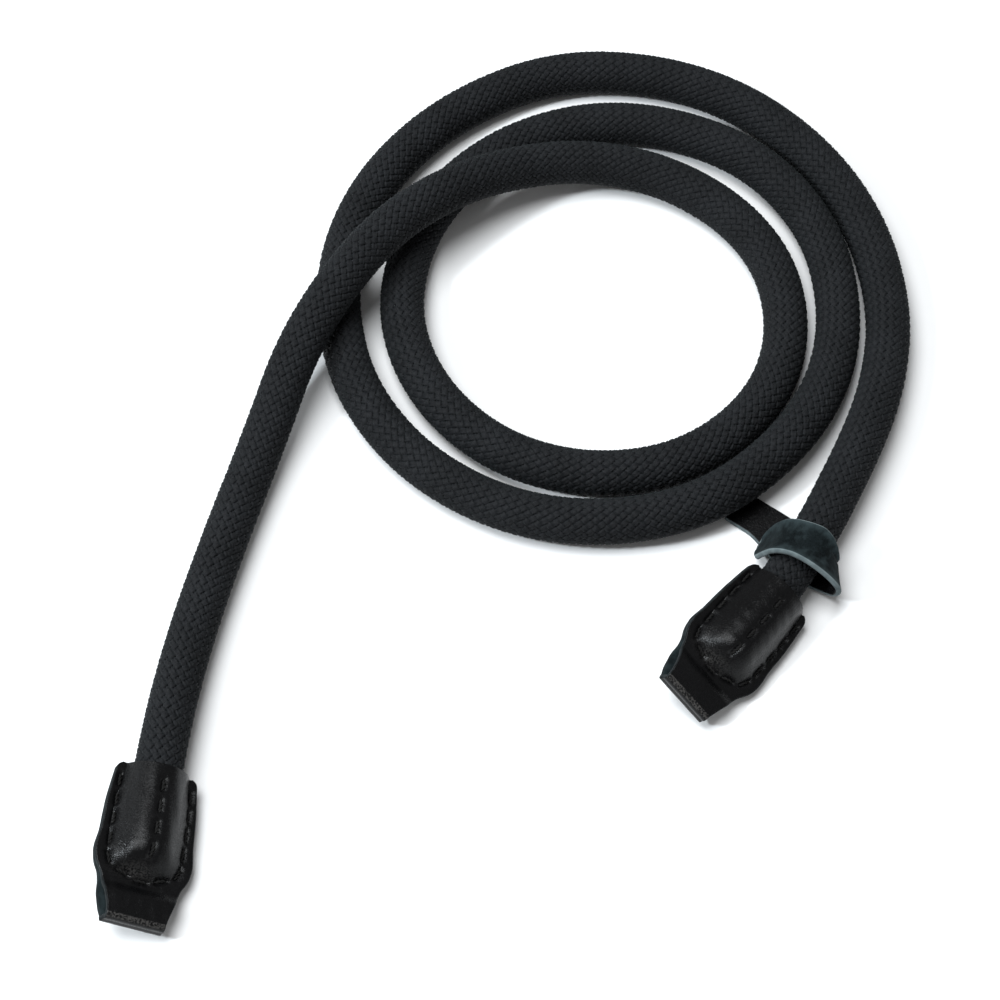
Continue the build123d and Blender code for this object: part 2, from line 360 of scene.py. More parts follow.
@dataclass
class HideSheet:
    """A piece of hide: its middle surface, how far each face stands off it, its wear and painted
    catch light.
    """

    name: str
    middle: np.ndarray
    grain_side: np.ndarray
    flesh_side: np.ndarray
    grain_rub: np.ndarray
    flesh_wear_and_catch_light: np.ndarray
    edge_crown: float = 0.00022

    def build(self, materials: list[Material]) -> Piece:
        """Makes the sheet with its cut edges.

        Args:
            materials: grain, flesh and edge, in the order of HideFace.

        Returns:
            The sheet as one closed mesh.
        """
        rows, cols, _ = self.middle.shape
        normal = unit(np.cross(np.gradient(self.middle, axis=1), np.gradient(self.middle, axis=0)))
        grain = self.middle + normal * self.grain_side[..., None]
        flesh = self.middle - normal * self.flesh_side[..., None]
        index = np.arange(rows * cols).reshape(rows, cols)
        a, b = index[:-1, :-1].ravel(), index[:-1, 1:].ravel()
        c, d = index[1:, 1:].ravel(), index[1:, :-1].ravel()
        outside = np.stack([a, b, c, d], axis=1)
        inside = np.stack([a, d, c, b], axis=1) + rows * cols
        i, j = rim_places(rows, cols)
        inner_i, inner_j = np.clip(i, 1, rows - 2), np.clip(j, 1, cols - 2)
        outward = self.middle[i, j] - self.middle[inner_i, inner_j]
        outward = unit(outward - normal[i, j] * np.sum(outward * normal[i, j], axis=1)[:, None])
        rings = [index[i, j]]
        vertices = [grain.reshape(-1, 3), flesh.reshape(-1, 3)]
        start = 2 * rows * cols
        for share, push in ((0.25, 0.75), (0.5, 1.0), (0.75, 0.75)):
            ring = grain[i, j] * (1 - share) + flesh[i, j] * share
            vertices.append(ring + outward * push * self.edge_crown)
            rings.append(np.arange(start, start + len(i)))
            start += len(i)
        rings.append(index[i, j] + rows * cols)
        strips = [
            np.stack([upper, lower, np.roll(lower, -1), np.roll(upper, -1)], axis=1)
            for upper, lower in zip(rings, rings[1:])
        ]
        edge = np.concatenate(strips)
        slots = np.repeat(
            [HideFace.GRAIN.value, HideFace.FLESH.value, HideFace.EDGE.value],
            [len(outside), len(inside), len(edge)],
        )
        faces = np.concatenate([outside, inside, edge])
        piece = mesh_piece(self.name, np.concatenate(vertices), faces, materials, slots)
        # Paleness at each vertex: wear, and on the keeper's flesh side painted catch light along
        # its edges and tip.
        worn = np.full(sum(len(part) for part in vertices), 0.5, np.float32)
        worn[: 2 * rows * cols] = np.concatenate([self.grain_rub.ravel(), self.flesh_wear_and_catch_light.ravel()])
        piece.data.attributes.new("wear_and_catch_light", "FLOAT", "POINT").data.foreach_set("value", worn)
        return piece


# ---- shader boards ---------------------------------------------------------------------------
@dataclass
class Board:
    """Places and joins the nodes of one material or group."""

    tree: NodeTree

    def add(self, kind: str, **settings: object) -> Node:
        """Adds a node and sets its options.

        Args:
            kind: the node's type.
            settings: its options, by name.

        Returns:
            The node.
        """
        node = self.tree.nodes.new(kind)
        for key, value in settings.items():
            setattr(node, key, value)
        return node

    def feed(self, target: Socket, source: object) -> None:
        """Joins a socket to its source, or sets it to a value.

        Args:
            target: the socket to feed.
            source: another socket, or a value.
        """
        if isinstance(source, Socket):
            self.tree.links.new(source, target)
        else:
            target.default_value = source

    def math(self, operation: str, *terms: object) -> Socket:
        """One sum.

        Args:
            operation: a Math node's operation.
            terms: its values or sockets, in order.

        Returns:
            The result's socket.
        """
        node = self.add("ShaderNodeMath", operation=operation)
        for target, term in zip(node.inputs, terms):
            self.feed(target, term)
        return node.outputs[0]

    def mask(self, value: Socket) -> Socket:
        """A value held between 0 and 1."""
        return self.math("MAXIMUM", self.math("MINIMUM", value, 1.0), 0.0)

    def blend(self, share: object, low: object, high: object) -> Socket:
        """Mixes two colours.

        Args:
            share: how much of the second colour.
            low: the first colour.
            high: the second colour.

        Returns:
            The mixed colour's socket.
        """
        node = self.add("ShaderNodeMix", data_type="RGBA")
        self.feed(node.inputs[0], share)
        self.feed(node.inputs[6], low)
        self.feed(node.inputs[7], high)
        return node.outputs[2]

    def spread(self, value: object, low: float, high: float) -> Socket:
        """Takes 0 to 1 onto low to high.

        Args:
            value: the value or socket to take.
            low: what 0 becomes.
            high: what 1 becomes.

        Returns:
            The new value's socket.
        """
        node = self.add("ShaderNodeMapRange")
        self.feed(node.inputs[0], value)
        node.inputs[3].default_value = low
        node.inputs[4].default_value = high
        return node.outputs[0]

    def noise(self, vector: object, scale: object, detail: float = 2.0) -> Socket:
        """Noise between 0 and 1.

        Args:
            vector: where to read it.
            scale: how many waves there are to a metre.
            detail: how many finer waves are added.

        Returns:
            The noise's socket.
        """
        node = self.add("ShaderNodeTexNoise")
        self.feed(node.inputs["Vector"], vector)
        self.feed(node.inputs["Scale"], scale)
        node.inputs["Detail"].default_value = detail
        return node.outputs[0]

    def group(self, tree: NodeTree, **inputs: object) -> Node:
        """Places a node group.

        Args:
            tree: the group.
            inputs: its inputs, by name, with _ for a space.

        Returns:
            The group's node.
        """
        node = self.add("ShaderNodeGroup", node_tree=tree)
        for key, source in inputs.items():
            self.feed(node.inputs[key.replace("_", " ")], source)
        return node


def new_group(
    name: str, inputs: list[tuple[str, str, object]], outputs: list[tuple[str, str]]
) -> tuple[Board, Node, Node]:
    """Starts a node group with named sockets.

    Args:
        name: the group's name.
        inputs: name, socket type and starting value of each input.
        outputs: name and socket type of each output.

    Returns:
        Its board, its input node and its output node.
    """
    tree = bpy.data.node_groups.new(name, "ShaderNodeTree")
    for label, kind, value in inputs:
        socket = tree.interface.new_socket(name=label, in_out="INPUT", socket_type=kind)
        if value is not None:
            socket.default_value = value
    for label, kind in outputs:
        tree.interface.new_socket(name=label, in_out="OUTPUT", socket_type=kind)
    board = Board(tree)
    return board, board.add("NodeGroupInput"), board.add("NodeGroupOutput")


FLOAT, COLOUR, VECTOR = "NodeSocketFloat", "NodeSocketColor", "NodeSocketVector"


def filament_group() -> NodeTree:
    """The fine filaments of a yarn, laid along it.

    Returns:
        The group.
    """
    board, given, result = new_group(
        "yarn_filaments",
        [("Place", VECTOR, None), ("Filaments", FLOAT, 7.0), ("Slant", FLOAT, 300.0)],
        [("Height", FLOAT), ("Shade", FLOAT)],
    )
    split = board.add("ShaderNodeSeparateXYZ")
    board.feed(split.inputs[0], given.outputs["Place"])
    fray = board.noise(given.outputs["Place"], 40.0, 3.0)
    across = board.math("MULTIPLY", split.outputs[0], given.outputs["Filaments"])
    lengthwise = board.math("MULTIPLY", split.outputs[1], given.outputs["Slant"])
    turn = board.math("ADD", board.math("ADD", across, lengthwise), fray)
    wave = board.math("SINE", board.math("MULTIPLY", turn, math.tau))
    height = board.math("MULTIPLY_ADD", wave, 0.5, 0.5)
    board.feed(result.inputs["Height"], height)
    board.feed(result.inputs["Shade"], board.math("MULTIPLY", height, fray))
    return board.tree


def grain_group() -> NodeTree:
    """The pebbled grain of finished hide, with its creases.

    Returns:
        The group.
    """
    board, given, result = new_group(
        "hide_grain",
        [("Place", VECTOR, None), ("Pebbles", FLOAT, 1500.0), ("Creasing", FLOAT, 0.5)],
        [("Height", FLOAT), ("Furrow", FLOAT)],
    )
    warp = board.add("ShaderNodeVectorMath", operation="MULTIPLY_ADD")
    drift = board.add("ShaderNodeTexNoise")
    board.feed(drift.inputs["Vector"], given.outputs["Place"])
    board.feed(drift.inputs["Scale"], board.math("MULTIPLY", given.outputs["Pebbles"], 0.7))
    board.feed(warp.inputs[0], drift.outputs["Color"])
    warp.inputs[1].default_value = (0.0004, 0.0004, 0.0004)
    board.feed(warp.inputs[2], given.outputs["Place"])
    cells = board.add("ShaderNodeTexVoronoi", feature="DISTANCE_TO_EDGE")
    board.feed(cells.inputs["Vector"], warp.outputs[0])
    board.feed(cells.inputs["Scale"], given.outputs["Pebbles"])
    pebble = board.math("MINIMUM", board.math("MULTIPLY", cells.outputs["Distance"], 3.2), 1.0)
    creases = board.math("MULTIPLY", given.outputs["Pebbles"], 0.16)
    crease = board.noise(warp.outputs[0], creases, 4.0)
    fold = board.math("ABSOLUTE", board.math("SUBTRACT", crease, 0.5))
    fold = board.math("MINIMUM", board.math("MULTIPLY", fold, 14.0), 1.0)
    fold = board.math("MULTIPLY", board.math("SUBTRACT", 1.0, fold), given.outputs["Creasing"])
    board.feed(result.inputs["Height"], board.math("SUBTRACT", pebble, fold))
    board.feed(result.inputs["Furrow"], board.math("SUBTRACT", 1.0, pebble))
    return board.tree


def handling_group() -> NodeTree:
    """Slow patches of rubbed and dusty surface.

    Returns:
        The group.
    """
    board, given, result = new_group(
        "handling",
        [
            ("Place", VECTOR, None),
            ("Clean", COLOUR, (0.01, 0.01, 0.01, 1)),
            ("Rubbed", COLOUR, (0.03, 0.03, 0.03, 1)),
            ("Amount", FLOAT, 0.4),
            ("Patches", FLOAT, 60.0),
        ],
        [("Colour", COLOUR), ("Patch", FLOAT)],
    )
    slow = board.noise(given.outputs["Place"], given.outputs["Patches"], 4.0)
    specks = board.math("MULTIPLY", given.outputs["Patches"], 22.0)
    quick = board.noise(given.outputs["Place"], specks, 3.0)
    patch = board.math("MULTIPLY", board.math("ADD", slow, quick), 0.5)
    patch = board.mask(board.spread(patch, -1.1, 2.1))
    share = board.math("MULTIPLY", patch, given.outputs["Amount"])
    colour = board.blend(share, given.outputs["Clean"], given.outputs["Rubbed"])
    board.feed(result.inputs["Colour"], colour)
    board.feed(result.inputs["Patch"], patch)
    return board.tree


@dataclass(frozen=True)
class Effects:
    """The node groups that the finishes share."""

    filaments: NodeTree
    grain: NodeTree
    handling: NodeTree

    @classmethod
    def build(cls) -> "Effects":
        """Builds each group once."""
        return cls(filament_group(), grain_group(), handling_group())

    def worn(
        self,
        board: Board,
        place: Socket,
        colours: tuple[Colour, Colour],
        amount: float,
        patches: float,
    ) -> Node:
        """Places the handling group on a material's board.

        Args:
            board: the material's board.
            place: the texture places.
            colours: the clean colour and the rubbed one.
            amount: how far a patch goes to the rubbed colour.
            patches: how many patches there are to a metre.

        Returns:
            The group's node.
        """
        clean, rubbed = colours
        return board.group(
            self.handling, Place=place, Clean=clean, Rubbed=rubbed, Amount=amount, Patches=patches
        )


def new_material(name: str) -> tuple[Material, Board, Node]:
    """Starts a material.

    Args:
        name: the material's name.

    Returns:
        The material, its board and its Principled BSDF.
    """
    material = bpy.data.materials.new(name)
    material.use_nodes = True
    board = Board(material.node_tree)
    shader = next(n for n in board.tree.nodes if n.type == "BSDF_PRINCIPLED")
    return material, board, shader


def bump(board: Board, shader: Node, height: object, distance: float) -> None:
    """Feeds a height to the shader's normal.

    Args:
        board: the material's board.
        shader: its Principled BSDF.
        height: the height's socket.
        distance: the depth of the relief, in metres.
    """
    node = board.add("ShaderNodeBump")
    node.inputs["Strength"].default_value = 1.0
    node.inputs["Distance"].default_value = distance
    board.feed(node.inputs["Height"], height)
    board.feed(shader.inputs["Normal"], node.outputs[0])


@dataclass(frozen=True)
class YarnFinish:
    """A dyed yarn: the rope's strands, its inner yarns, or sewing thread."""

    name: str
    deep: Colour
    lit: Colour
    filaments: float
    slant: float
    relief: float
    roughness: tuple[float, float]
    sheen: float
    sheen_tint: Colour = (0.62, 0.80, 0.82, 1)

    def build(self, effects: Effects) -> Material:
        """The yarn's material, with its filaments laid along its own texture places.

        Args:
            effects: the shared node groups.

        Returns:
            The material.
        """
        material, board, shader = new_material(self.name)
        place = board.add("ShaderNodeTexCoord")
        laid = {"Filaments": self.filaments, "Slant": self.slant}
        ribs = board.group(effects.filaments, Place=place.outputs["UV"], **laid)
        worn = effects.worn(board, place.outputs["Object"], (self.deep, self.lit), 0.8, 90.0)
        colour = board.blend(ribs.outputs["Shade"], worn.outputs["Colour"], self.lit)
        board.feed(shader.inputs["Base Color"], colour)
        rough = board.spread(ribs.outputs["Shade"], *self.roughness)
        board.feed(shader.inputs["Roughness"], rough)
        shader.inputs["Sheen Weight"].default_value = self.sheen
        shader.inputs["Sheen Roughness"].default_value = 0.4
        shader.inputs["Sheen Tint"].default_value = self.sheen_tint
        shader.inputs["Specular IOR Level"].default_value = 0.14
        bump(board, shader, ribs.outputs["Height"], self.relief)
        return material


@dataclass(frozen=True)
class GrainFinish:
    """The finished outer face of the hide."""

    name: str
    deep: Colour
    rubbed: Colour
    worn: Colour
    pebbles: float
    relief: float
    roughness: tuple[float, float]

    def build(self, effects: Effects) -> Material:
        """A glossy pebbled hide with darker furrows.

        Args:
            effects: the shared node groups.

        Returns:
            The material.
        """
        material, board, shader = new_material(self.name)
        place = board.add("ShaderNodeTexCoord").outputs["Object"]
        grain = board.group(effects.grain, Place=place, Pebbles=self.pebbles, Creasing=0.5)
        worn = effects.worn(board, place, (self.deep, self.rubbed), 0.55, 70.0)
        dark = board.math("MULTIPLY", grain.outputs["Furrow"], 0.5)
        sound = board.blend(dark, worn.outputs["Colour"], self.deep)
        wear_and_catch_light = board.add("ShaderNodeAttribute", attribute_name="wear_and_catch_light").outputs["Fac"]
        flecks = board.mask(board.spread(board.noise(place, 2400.0, 4.0), -3.2, 4.2))
        scuffed = board.math("MULTIPLY", wear_and_catch_light, flecks)
        board.feed(shader.inputs["Base Color"], board.blend(scuffed, sound, self.worn))
        matt = board.math("ADD", grain.outputs["Furrow"], worn.outputs["Patch"])
        rough = board.spread(board.math("MULTIPLY", matt, 0.5), *self.roughness)
        board.feed(shader.inputs["Roughness"], rough)
        shader.inputs["Specular IOR Level"].default_value = 0.16
        bump(board, shader, grain.outputs["Height"], self.relief)
        return material


@dataclass(frozen=True)
class FibreFinish:
    """The open fibre of the hide: its flesh side or its cut edge."""

    name: str
    deep: Colour
    pale: Colour
    nap: float
    relief: float
    sheen: float

    def build(self, effects: Effects) -> Material:
        """A matt napped surface.

        Args:
            effects: the shared node groups.

        Returns:
            The material.
        """
        material, board, shader = new_material(self.name)
        place = board.add("ShaderNodeTexCoord").outputs["Object"]
        worn = effects.worn(board, place, (self.deep, self.pale), 0.35, 160.0)
        nap = board.noise(place, self.nap, 6.0)
        # The attribute pales the face for wear and, on the keeper's flesh side, as painted catch
        # light along its edges and tip; the blotches are random tone.
        wear_and_catch_light = board.add("ShaderNodeAttribute", attribute_name="wear_and_catch_light").outputs["Fac"]
        blotch = board.spread(board.noise(place, 520.0, 4.0), -1.0, 0.95)
        share = board.mask(board.math("ADD", wear_and_catch_light, blotch))
        colour = board.blend(share, worn.outputs["Colour"], self.pale)
        board.feed(shader.inputs["Base Color"], colour)
        board.feed(shader.inputs["Roughness"], board.spread(nap, 0.82, 0.98))
        shader.inputs["Sheen Weight"].default_value = self.sheen
        shader.inputs["Sheen Roughness"].default_value = 0.5
        shader.inputs["Specular IOR Level"].default_value = 0.06
        bump(board, shader, nap, self.relief)
        return material


@dataclass(frozen=True)
class TapeFinish:
    """The cloth tape bound round the rope's ends."""

    name: str
    deep: Colour
    lit: Colour
    threads: float

    def build(self, effects: Effects) -> Material:
        """A fine plain weave on a dark tape.

        Args:
            effects: the shared node groups.

        Returns:
            The material.
        """
        material, board, shader = new_material(self.name)
        place = board.add("ShaderNodeTexCoord").outputs["Object"]
        warp = board.add("ShaderNodeTexWave", bands_direction="X")
        weft = board.add("ShaderNodeTexWave", bands_direction="Y")
        for wave in (warp, weft):
            board.feed(wave.inputs["Vector"], place)
            wave.inputs["Scale"].default_value = self.threads
        weave = board.math("MAXIMUM", warp.outputs[1], weft.outputs[1])
        worn = effects.worn(board, place, (self.deep, self.lit), 0.5, 60.0)
        colour = board.blend(weave, worn.outputs["Colour"], self.lit)
        board.feed(shader.inputs["Base Color"], colour)
        board.feed(shader.inputs["Roughness"], board.spread(weave, 0.75, 0.95))
        bump(board, shader, weave, 0.00005)
        return material


@dataclass(frozen=True)
class FloorFinish:
    """The pale table under the strap."""

    name: str
    colour: Colour

    def build(self, effects: Effects) -> Material:
        """A plain pale matt surface with the faintest mottle.

        Args:
            effects: the shared node groups.

        Returns:
            The material.
        """
        material, board, shader = new_material(self.name)
        place = board.add("ShaderNodeTexCoord").outputs["Object"]
        dusty = tuple(c * 0.985 for c in self.colour[:3]) + (1.0,)
        worn = effects.worn(board, place, (self.colour, dusty), 1.0, 8.0)
        board.feed(shader.inputs["Base Color"], worn.outputs["Colour"])
        shader.inputs["Roughness"].default_value = 0.9
        shader.inputs["Specular IOR Level"].default_value = 0.2
        return material


@dataclass(frozen=True)
class Finishes:
    """Every material of the strap."""

    strand: Material
    inner_yarn: Material
    thread: Material
    cap_hide: list[Material]
    keeper_hide: list[Material]
    tape: Material
    floor: Material

    @classmethod
    def build(cls, effects: Effects) -> "Finishes":
        """Builds each material once.

        Args:
            effects: the node groups that they share.

        Returns:
            The materials. Those of a piece of hide are in the order of HideFace.
        """
        strand = YarnFinish(
            name="rope_strand",
            deep=(0.0030, 0.0031, 0.0036, 1),
            lit=(0.0135, 0.0145, 0.0165, 1),
            filaments=14.0,
            slant=150.0,
            relief=0.00005,
            roughness=(0.66, 0.5),
            sheen=0.03,
        )
        inner_yarn = YarnFinish(
            name="rope_inner_yarn",
            deep=(0.004, 0.004, 0.004, 1),
            lit=(0.008, 0.008, 0.008, 1),
            filaments=60.0,
            slant=400.0,
            relief=0.0001,
            roughness=(0.95, 0.8),
            sheen=0.0,
        )
        thread = YarnFinish(
            name="waxed_thread",
            deep=(0.003, 0.003, 0.003, 1),
            lit=(0.010, 0.0095, 0.009, 1),
            filaments=4.0,
            slant=900.0,
            relief=0.00003,
            roughness=(0.75, 0.55),
            sheen=0.0,
        )
        grain = GrainFinish(
            name="hide_grain_face",
            deep=(0.0020, 0.0020, 0.0022, 1),
            rubbed=(0.0065, 0.0066, 0.0070, 1),
            worn=(0.105, 0.100, 0.095, 1),
            pebbles=2600.0,
            relief=0.000022,
            roughness=(0.20, 0.32),
        ).build(effects)
        flesh = FibreFinish(
            name="hide_flesh_face",
            deep=(0.0012, 0.0022, 0.0026, 1),
            pale=(0.026, 0.037, 0.040, 1),
            nap=4200.0,
            relief=0.00008,
            sheen=0.01,
        ).build(effects)
        dyed_edge = FibreFinish(
            name="hide_dyed_edge",
            deep=(0.0030, 0.0036, 0.0040, 1),
            pale=(0.020, 0.0245, 0.0260, 1),
            nap=5200.0,
            relief=0.00006,
            sheen=0.05,
        ).build(effects)
        raw_edge = FibreFinish(
            name="hide_raw_edge",
            deep=(0.055, 0.070, 0.075, 1),
            pale=(0.130, 0.160, 0.165, 1),
            nap=5200.0,
            relief=0.00006,
            sheen=0.05,
        ).build(effects)
        tape = TapeFinish(
            name="binding_tape",
            deep=(0.006, 0.006, 0.006, 1),
            lit=(0.02, 0.02, 0.02, 1),
            threads=900.0,
        )
        floor = FloorFinish(name="pale_table", colour=(0.86, 0.86, 0.86, 1))
        return cls(
            strand=strand.build(effects),
            inner_yarn=inner_yarn.build(effects),
            thread=thread.build(effects),
            cap_hide=[grain, flesh, dyed_edge],
            keeper_hide=[grain, flesh, raw_edge],
            tape=tape.build(effects),
            floor=floor.build(effects),
        )


# ---- the rope --------------------------------------------------------------------------------
@dataclass
class BraidedRope:
    """The rope: paired yarns plaited over one and under one, round a bundle of inner yarns."""

    body: str = "strap"
    diameter: float = 0.012
    strands_each_way: int = 16
    turn: float = 0.0445
    strand_width: float = 0.00166
    strand_crown: float = 0.00052
    lift: float = 0.00034
    step: float = 0.00056
    core_radius: float = 0.0050
    end_taper: float = 0.0030
    end_share: float = 0.80
    squareness: float = 1.4
    unevenness: float = 0.00003
    sway: float = 0.012
    length: float = 1.276
    section: ClassVar[tuple[tuple[float, float], ...]] = (
        (-1.0, -0.55),
        (-0.82, 0.45),
        (-0.46, 1.0),
        (0.0, 0.25),
        (0.46, 1.0),
        (0.82, 0.45),
        (1.0, -0.55),
    )

    def radii(self, line: GuideLine) -> np.ndarray:
        """The share of its full radius that the rope has along it, drawn in at the ends."""
        from_end = np.minimum(line.distance, line.distance[-1] - line.distance)
        rise = smooth_rise(from_end, 0.0, self.end_taper)
        return self.end_share + (1 - self.end_share) * rise

    def strand(self, line: GuideLine, way: int, number: int) -> tuple[np.ndarray, ...]:
        """One strand, the whole length of the rope.

        Args:
            line: the rope's centreline.
            way: 1 for a strand that turns one way round the rope, -1 for the other.
            number: its place round the rope.

        Returns:
            Vertices, faces and texture places.
        """
        seed = number + (100 if way < 0 else 0)
        count = self.strands_each_way
        crossing = 2 * count * line.distance / self.turn
        over = np.tanh(self.squareness * np.cos(math.pi * crossing))
        over = way * over / math.tanh(self.squareness)
        uneven = waviness(seed, line.distance[:, None], 0.021)
        middle = self.diameter / 2 - self.strand_crown - self.lift
        radius = (middle + self.lift * over + self.unevenness * uneven) * self.radii(line)
        angle = math.tau * (number / count + way * line.distance / self.turn)
        angle = angle + self.sway * waviness(seed + 50, line.distance[:, None], 0.017)
        cos, sin = np.cos(angle)[:, None], np.sin(angle)[:, None]
        outward = cos * line.side + sin * line.up
        around = cos * line.up - sin * line.side
        lean = math.atan(math.tau * middle / self.turn)
        across = math.cos(lean) * around - way * math.sin(lean) * line.along
        half = self.strand_width / 2 * (1 + 0.06 * over + 0.04 * uneven)
        centre = line.points + outward * radius[:, None]
        ring = [
            centre + across * (half * a)[:, None] + outward * (self.strand_crown * h)
            for a, h in self.section
        ]
        return skin(np.stack(ring[::-1], axis=1), line.distance)

    def inner_yarns(self, points: np.ndarray, finishes: Finishes) -> Piece:
        """The round bundle inside the braid, closed at both ends.

        Args:
            points: the rope's line.
            finishes: the strap's materials.

        Returns:
            The bundle.
        """
        line = GuideLine.even(points, 3 * self.step)
        rings = round_rings(line, self.core_radius * self.radii(line), 20)
        first, last = (end[None, None] + 0 * rings[:1] for end in line.points[[0, -1]])
        reach = np.concatenate([[0.0], line.distance, line.distance[-1:]])
        vertices, faces, uv = skin(np.concatenate([first, rings, last]), reach)
        return mesh_piece("rope_inner_yarns", vertices, faces, [finishes.inner_yarn], uv=uv)

    def build(self, finishes: Finishes) -> None:
        """Args:
            finishes: the strap's materials.
        """
        points = spline_points(ROUTE)
        line = GuideLine.even(points, self.step)
        strands = [
            self.strand(line, way, number)
            for way in (1, -1)
            for number in range(self.strands_each_way)
        ]
        vertices, faces, uv = merge(strands)
        sheath = mesh_piece("rope_braid", vertices, faces, [finishes.strand], uv=uv)
        core = self.inner_yarns(points, finishes)
        dress(sheath, self.body, "rope_sheath")
        dress(core, self.body, "rope_core")
        log.info("rope: %.3f m in %d strands", line.distance[-1], 2 * self.strands_each_way)


# ---- leather caps ----------------------------------------------------------------------------
@dataclass
class Stitching:
    """One running stitch: its needle holes in a cap's own frame, and its thread."""

    holes: np.ndarray
    thread_radius: float = 0.0004
    groove: float = 0.00085
    pit: float = 0.0006
    pit_share: float = 1.15

    def spans(self, upper: bool) -> list[tuple[np.ndarray, np.ndarray]]:
        """The pairs of holes joined by a stitch on one panel.

        Args:
            upper: which panel.

        Returns:
            The two ends of each stitch.
        """
        first = 0 if upper else 1
        return [(self.holes[k], self.holes[k + 1]) for k in range(first, len(self.holes) - 1, 2)]

    def sink(self, s: np.ndarray, w: np.ndarray, upper: bool, depth: float) -> np.ndarray:
        """How deep the pulled stitches press into the hide.

        Args:
            s: places along the cap.
            w: places across it.
            upper: which panel.
            depth: the depth under a stitch.

        Returns:
            The depth at each place.
        """
        total = np.zeros_like(s)
        for a, b in self.spans(upper):
            run = b - a
            t = np.clip(((s - a[0]) * run[0] + (w - a[1]) * run[1]) / (run @ run), 0, 1)
            away = np.hypot(s - a[0] - t * run[0], w - a[1] - t * run[1])
            total = np.maximum(total, depth * np.exp(-((away / self.groove) ** 2)))
        for hole in self.holes:
            away = np.hypot(s - hole[0], w - hole[1])
            pit = self.pit_share * depth * np.exp(-((away / self.pit) ** 2))
            total = np.maximum(total, pit)
        return total


